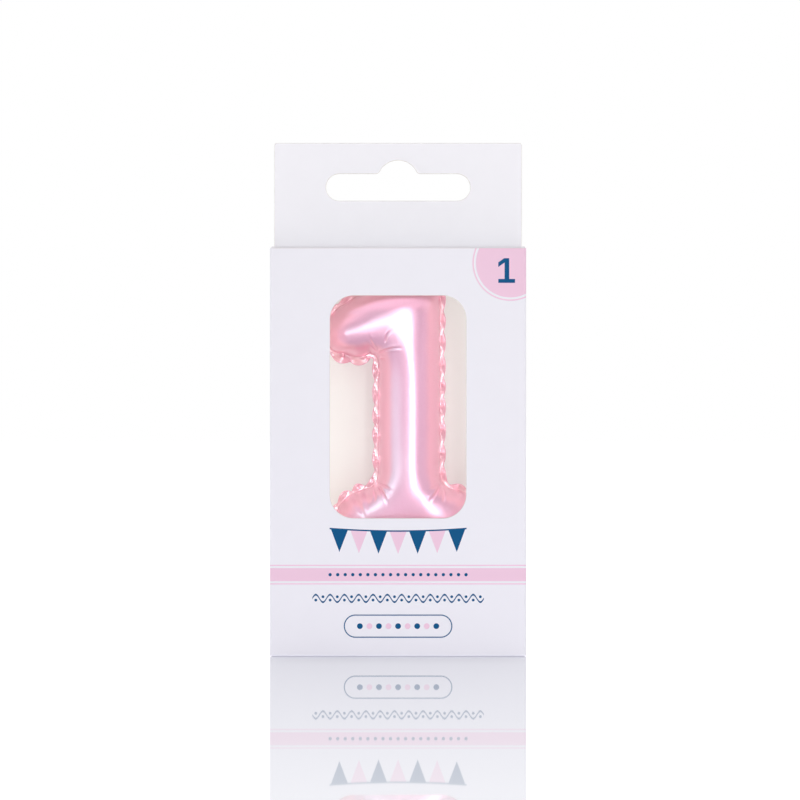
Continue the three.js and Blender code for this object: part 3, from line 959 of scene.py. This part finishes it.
def skin_heights(seam, flat):
    """Heights of the front and back skins at each point, and how much of the point is on the ribbon."""
    reach, along = nearest_on(flat, seam.base)
    depth = np.where(inside_loop(flat, seam.base), reach, -reach)
    into = depth - seam.at("width", along)
    from_rim = depth + seam.at("scallop", along)
    arch, frill, pillow = (seam.at(name, along) for name in ("arch", "frill", "pillow"))
    load, origin = inflate(seam)
    swell = PUFF["share"] * np.sqrt(2 * np.maximum(sample(load, origin, flat), 0)) * fullness(flat)
    # Beside the seam the skin gathers into puckers, one for each scallop.
    pucker = np.abs(np.cos(np.pi * arch)) ** 3
    gathered = np.exp(-np.clip(into, 0, None) / (0.5 + 0.3 * frill + 1.3 * pillow)) * smooth_step(into / 0.2)
    swell = swell * (1 - (0.05 + 0.1 * frill + 0.38 * pillow) * pucker * gathered)
    swell -= crease_depth(flat) * smooth_step((into - 0.05) / 0.6)
    # The ribbon has a low bead along its cut edge, and thins where the skin is welded.
    bead = 0.5 + 0.6 * np.exp(-(((from_rim - 0.22) / 0.16) ** 2)) - 0.3 * np.exp(-((from_rim / 0.08) ** 2))
    weld = 0.25 * np.exp(-(((into + 0.22) / 0.12) ** 2))
    thick = SEAM["half_thick"]
    half = np.where(into < 0, thick * (bead - weld), np.maximum(0.5 * thick, swell))
    # The ribbon buckles to and fro along the seam.
    buckling = smooth_step(-into / 0.9) * (1 + 1.4 * frill)
    lean = SEAM["buckle"] * np.sin(2 * np.pi * arch + 0.9) * buckling
    ribbon = smooth_step(-into / 0.15) * smooth_step((from_rim - 0.12) / 0.14)
    return lean - half, lean + half, ribbon


def numeral_mesh():
    """Vertices (x, depth, z) and faces of the wax numeral, and each vertex's share of ribbon."""
    seam = Seam()
    points, rim_count = mesh_points(seam)
    rim = [(i, (i + 1) % rim_count) for i in range(rim_count)]
    flat, _, triangles, *_ = delaunay_2d_cdt([Vector(p) for p in points], rim, [], 1, 1e-5)
    flat = np.array([tuple(v) for v in flat])
    triangles = [tuple(t) for t in triangles]
    front, back, ribbon = skin_heights(seam, flat)
    total = len(flat)
    vertices = [(x, y, z) for skin in (front, back) for (x, z), y in zip(flat, skin)]
    faces = list(triangles)
    faces += [(a + total, c + total, b + total) for a, b, c in triangles]
    edges = {edge for a, b, c in triangles for edge in ((a, b), (b, c), (c, a))}
    faces += [(b, a, a + total, b + total) for a, b in edges if (b, a) not in edges]
    return vertices, faces, np.tile(ribbon, 2)


vertices, faces, on_ribbon = numeral_mesh()
wax = add_object("numeral_wax", vertices, faces, [pearl_wax("pearl_wax")])
wax.data.attributes.new("ribbon", "FLOAT", "POINT").data.foreach_set("value", on_ribbon.astype(np.float32))
wax.data.transform(Matrix.Translation((CANDLE_X * MM, 0, CANDLE_BASE * MM)) @ Matrix.Scale(MM, 4))
face_out(wax)
stand_in(wax, "candle_body")


def tube(path, radii, sides):
    """Vertices and faces of a closed tube along a path, with a radius at each point."""
    vertices, faces = [], []
    for i, (point, radius) in enumerate(zip(path, radii)):
        ahead = (path[min(i + 1, len(path) - 1)] - path[max(i - 1, 0)]).normalized()
        across = ahead.cross(Vector((0, 1, 0))).normalized()
        up = across.cross(ahead)
        for k in range(sides):
            a = 2 * math.pi * k / sides
            vertices.append(point + (across * math.cos(a) + up * math.sin(a)) * radius)
    for i in range(len(path) - 1):
        for k in range(sides):
            a, b = i * sides + k, i * sides + (k + 1) % sides
            faces.append((a, b, b + sides, a + sides))
    faces.append(tuple(range(sides))[::-1])
    faces.append(tuple(range(len(vertices) - sides, len(vertices))))
    return vertices, faces


WICK = {"strands": 3, "radius": 0.72, "strand": 0.37, "lay": 3.4, "sides": 12, "step": 0.12}


def wick_cord():
    """Cotton strands laid round each other, as long as the CAD wick and drawn together at its tip."""
    corners = [v.co / MM for v in frame["nodes"]["wick"].data.vertices]
    low, high = min(c.z for c in corners), max(c.z for c in corners)
    steps = round((high - low) / WICK["step"])
    vertices, faces = [], []
    for strand in range(WICK["strands"]):
        path, radii = [], []
        for i in range(steps + 1):
            z = low + (high - low) * i / steps
            turn = 2 * math.pi * (strand / WICK["strands"] + (z - low) / WICK["lay"])
            spread = (WICK["radius"] - WICK["strand"]) * (1 - 0.25 * math.exp((z - high) / 0.3))
            path.append(Vector((CANDLE_X + spread * math.cos(turn), spread * math.sin(turn), z)) * MM)
            radii.append(WICK["strand"] * MM * (1 - 0.45 * math.exp((z - high) / 0.12)))
        points, sides = tube(path, radii, WICK["sides"])
        faces += [tuple(n + len(vertices) for n in face) for face in sides]
        vertices += points
    piece = add_object("wick_cord", vertices, faces, [wick_cotton("wick_cotton")])
    face_out(piece)
    stand_in(piece, "wick")


PICK_ROUND = 0.18 * MM
WELD_GAP = 0.004 * MM


def softened(node, name, material, radius):
    """A new piece with a CAD node's shape and its sharp edges rounded."""
    bm = bmesh.new()
    bm.from_mesh(frame["nodes"][node].data)
    bmesh.ops.remove_doubles(bm, verts=bm.verts, dist=1e-7)
    bmesh.ops.dissolve_limit(bm, angle_limit=math.radians(1), verts=bm.verts, edges=bm.edges)
    sharp = [e for e in bm.edges if e.is_manifold and e.calc_face_angle() > math.radians(35)]
    bmesh.ops.bevel(
        bm, geom=sharp, offset=radius, offset_type="OFFSET", segments=3, profile=0.5,
        affect="EDGES", clamp_overlap=True,
    )
    bmesh.ops.remove_doubles(bm, verts=bm.verts, dist=WELD_GAP)
    bmesh.ops.dissolve_degenerate(bm, dist=WELD_GAP, edges=bm.edges)
    bmesh.ops.triangulate(bm, faces=bm.faces)
    bmesh.ops.recalc_face_normals(bm, faces=bm.faces)
    for face in bm.faces:
        face.smooth = True
    piece = add_object(name, [], [], [material])
    bm.to_mesh(piece.data)
    bm.free()
    piece.data.set_sharp_from_angle(angle=math.radians(32))
    return piece


wick_cord()
pick = softened("candle_pick", "pick_blade", moulded_plastic("pick_plastic"), PICK_ROUND)
stand_in(pick, "candle_pick")

# ---------- stage, light and camera

FLOOR = {"half": 3, "gap": 0.1 * MM, "drop": 40 * MM, "shade": 20 * MM, "light": 1.08, "mirror": (0.4, 0.68)}
# Distances from the carton in millimetres: where the mirror image and the painted shade fade, and where the
# floor turns white.
NEAR_FADE, FAR_FADE = (10, 215), (230, 560)
SURROUND_LIGHT, SURROUND_GLOSS, BACKDROP = 0.31, 0.55, 1.6


def faded(reach, ends):
    """1 short of the first end, 0 past the second, and even between them."""
    return ((reach * -1 + ends[1]) / (ends[1] - ends[0])).max(0).min(1)


def floor_material():
    """A pale glossy floor: it carries a weak mirror image that fades away from the carton, and painted shade
    that darkens it near the carton.
    """
    paint = Paint("studio_floor")
    paint.tree.nodes.remove(paint.surface)
    # Painted contact shadow: ambient occlusion darkens the floor where the carton is close.
    contact_shade = paint.node("AmbientOcclusion")
    contact_shade.inputs["Distance"].default_value = FLOOR["shade"]
    x, y, _ = paint.axes_mm()
    reach = distance(x, y, 0, 0)
    fade, shown = faded(reach, NEAR_FADE), faded(reach, FAR_FADE)
    # Painted shade: the floor is a little darker near the carton and white far from it.
    pale = paint.mix(fade, srgb(250, 251, 255), srgb(240, 241, 249))
    open_floor = paint.mix(shown, (1, 1, 1), pale)
    tint = paint.mix(Field(paint.tree, contact_shade.outputs["AO"]), srgb(176, 176, 188), open_floor)
    glow = paint.node("Emission")
    paint.link(tint, glow.inputs["Color"])
    mirror = paint.span(fade, *FLOOR["mirror"]) * shown
    # To the carton the floor is as bright where it mirrors as where it doesn't.
    bounced = Field(paint.tree, paint.node("LightPath").outputs["Is Diffuse Ray"])
    even = mirror / (mirror * -1 + 1) * 1.1
    paint.link(bounced * even + FLOOR["light"], glow.inputs["Strength"])
    gloss = paint.node("BsdfGlossy")
    gloss.inputs["Roughness"].default_value = 0.02
    top = paint.blend_shaders(mirror, glow.outputs[0], gloss.outputs[0])
    clear = paint.node("BsdfTransparent")
    under = paint.node("NewGeometry").outputs["Backfacing"]
    paint.link(paint.blend_shaders(under, top, clear.outputs[0]), paint.output.inputs[0])
    return paint.material


def stage_floor():
    """The floor, which sinks as the carton's bottom opens, so that the flaps stay in sight."""
    half = FLOOR["half"]
    corners = [(-half, -half, 0), (half, -half, 0), (half, half, 0), (-half, half, 0)]
    floor = add_object("studio_floor", corners, [(0, 1, 2, 3)], [floor_material()])
    floor.location.z = -FLOOR["gap"]
    sink = floor.constraints.new("TRANSFORM")
    sink.target = frame["bodies"]["bottom"]
    sink.map_from, sink.map_to = "ROTATION", "LOCATION"
    sink.map_to_z_from = "X"
    sink.from_min_x_rot, sink.from_max_x_rot = math.radians(-60), 0
    sink.to_min_z, sink.to_max_z = -FLOOR["drop"], 0
    return floor


def studio_world():
    """White to the eye, softer as light, and a bright backdrop behind for mirror images."""
    world = bpy.data.worlds.new("studio")
    bpy.context.scene.world = world
    world.use_nodes = True
    tree = world.node_tree
    light = tree.nodes["Background"]
    light.inputs["Color"].default_value = (*srgb(254, 251, 255), 1)
    way = tree.nodes.new("ShaderNodeTexCoord")
    split = tree.nodes.new("ShaderNodeSeparateXYZ")
    tree.links.new(way.outputs["Generated"], split.inputs[0])
    ahead, above = Field(tree, split.outputs[1]), Field(tree, split.outputs[2])
    path = tree.nodes.new("ShaderNodeLightPath")
    mirrored = Field(tree, path.outputs["Is Glossy Ray"])
    backdrop = (ahead * 4).max(0).min(1) * (BACKDROP - SURROUND_GLOSS) + SURROUND_GLOSS
    light_in = (ahead * 2).max(0).min(1) * 0.4 + above.max(0) * 0.25 + SURROUND_LIGHT
    strength = mirrored * backdrop + (mirrored * -1 + 1) * light_in
    tree.links.new(strength.socket, light.inputs["Strength"])
    plain = tree.nodes.new("ShaderNodeBackground")
    plain.inputs["Color"].default_value = (1, 1, 1, 1)
    choose = tree.nodes.new("ShaderNodeMixShader")
    tree.links.new(path.outputs["Is Camera Ray"], choose.inputs[0])
    tree.links.new(light.outputs[0], choose.inputs[1])
    tree.links.new(plain.outputs[0], choose.inputs[2])
    tree.links.new(choose.outputs[0], tree.nodes["World Output"].inputs["Surface"])


floor = stage_floor()
studio_world()


def receivers(name, lit=(), unlit=()):
    """What a lamp lights: only the lit objects if there are any, and never the unlit ones."""
    group = bpy.data.collections.new(name)
    for piece in (*lit, *unlit):
        group.objects.link(piece)
    for entry in list(group.collection_objects)[len(lit) :]:
        entry.light_linking.link_state = "EXCLUDE"
    return group


def area_lamp(name, lit, width, height, watts, colour):
    """A rectangular lamp that is never seen itself."""
    data = bpy.data.lights.new(name, "AREA")
    data.shape = "RECTANGLE"
    data.size, data.size_y = width, height
    data.energy = watts
    data.color = colour
    lamp = bpy.data.objects.new(name, data)
    bpy.context.scene.collection.objects.link(lamp)
    lamp.light_linking.receiver_collection = lit
    lamp.visible_camera = False
    return lamp


def softbox(name, lit, azimuth, elevation, reach, width, height, watts, colour):
    """A studio lamp that faces the window from a bearing, in degrees right of the camera's axis."""
    lamp = area_lamp(name, lit, width, height, watts, colour)
    a, e = math.radians(azimuth), math.radians(elevation)
    away = Vector((math.sin(a) * math.cos(e), -math.cos(a) * math.cos(e), math.sin(e)))
    lamp.location = Vector((0, 0, 0.055)) + away * reach
    lamp.rotation_euler = away.to_track_quat("Z", "Y").to_euler()


def bounce(name, lit, place_mm, turn, width_mm, height_mm, watts, mirrored=False):
    """Light that the pale board passes on inside the carton or above its lid."""
    lamp = area_lamp(name, lit, width_mm * MM, height_mm * MM, watts, (0.85, 0.94, 0.93))
    lamp.location = Vector(place_mm) * MM
    lamp.rotation_euler = (math.radians(turn), 0, 0)
    lamp.visible_glossy = mirrored


all_but_floor = receivers("lit_but_floor", unlit=(floor,))
carton_only = receivers("lit_carton", unlit=(floor, wax))
wax_only = receivers("lit_wax", lit=(wax,))
tab_only = receivers("lit_tab", lit=(tab_front,))
# Name, what it lights, azimuth, elevation, distance, width, height, watts, colour.
for lamp in (
    ("key", carton_only, 9, 8, 0.32, 0.022, 0.32, 0.15, (1.0, 0.99, 0.97)),
    ("fill", all_but_floor, 55, 5, 1.1, 0.4, 0.9, 0.5, (1.0, 0.97, 0.95)),
    ("top", all_but_floor, 0, 62, 1.0, 0.9, 0.7, 1.4, (1.0, 0.98, 0.99)),
    ("broad", carton_only, -50, 5, 1.0, 0.8, 0.9, 1.22, (0.97, 0.96, 1.0)),
    ("glint", wax_only, 11, 6, 0.32, 0.034, 0.34, 0.5, (0.92, 1.0, 0.96)),
    ("sweep", wax_only, -12, 14, 0.34, 0.36, 0.06, 0.3, (0.6, 1.0, 0.86)),
    ("sheen", wax_only, -50, 6, 1.0, 0.58, 0.9, 2.1, (0.35, 1.0, 0.8)),
):
    softbox(*lamp)
# Name, what it lights, place, turn about X, width, height, watts.
bounce("bounce_left", carton_only, (-21, -8.9, 53), 90, 9, 56, 0.0004)
bounce("bounce_back", carton_only, (-5, 9.0, 54), -90, 34, 62, 0.0062)
bounce("bounce_brow", wax_only, (0, -9.3, 82.5), 90, 44, 9, 0.001, mirrored=True)
bounce("bounce_lid", tab_only, (0, 0.5, 88.4), 180, 52, 16, 0.001)

camera_data = bpy.data.cameras.new("camera")
camera_data.sensor_width = 36
camera_data.lens = 122.9
camera_data.shift_x = 0.0024
camera_data.shift_y = 0.001
camera = bpy.data.objects.new("camera", camera_data)
camera.location = (0, -0.596, 0.0548)
camera.rotation_euler = (math.radians(90), 0, 0)
bpy.context.scene.collection.objects.link(camera)
bpy.context.scene.camera = camera
bpy.context.scene.view_settings.view_transform = "Standard"
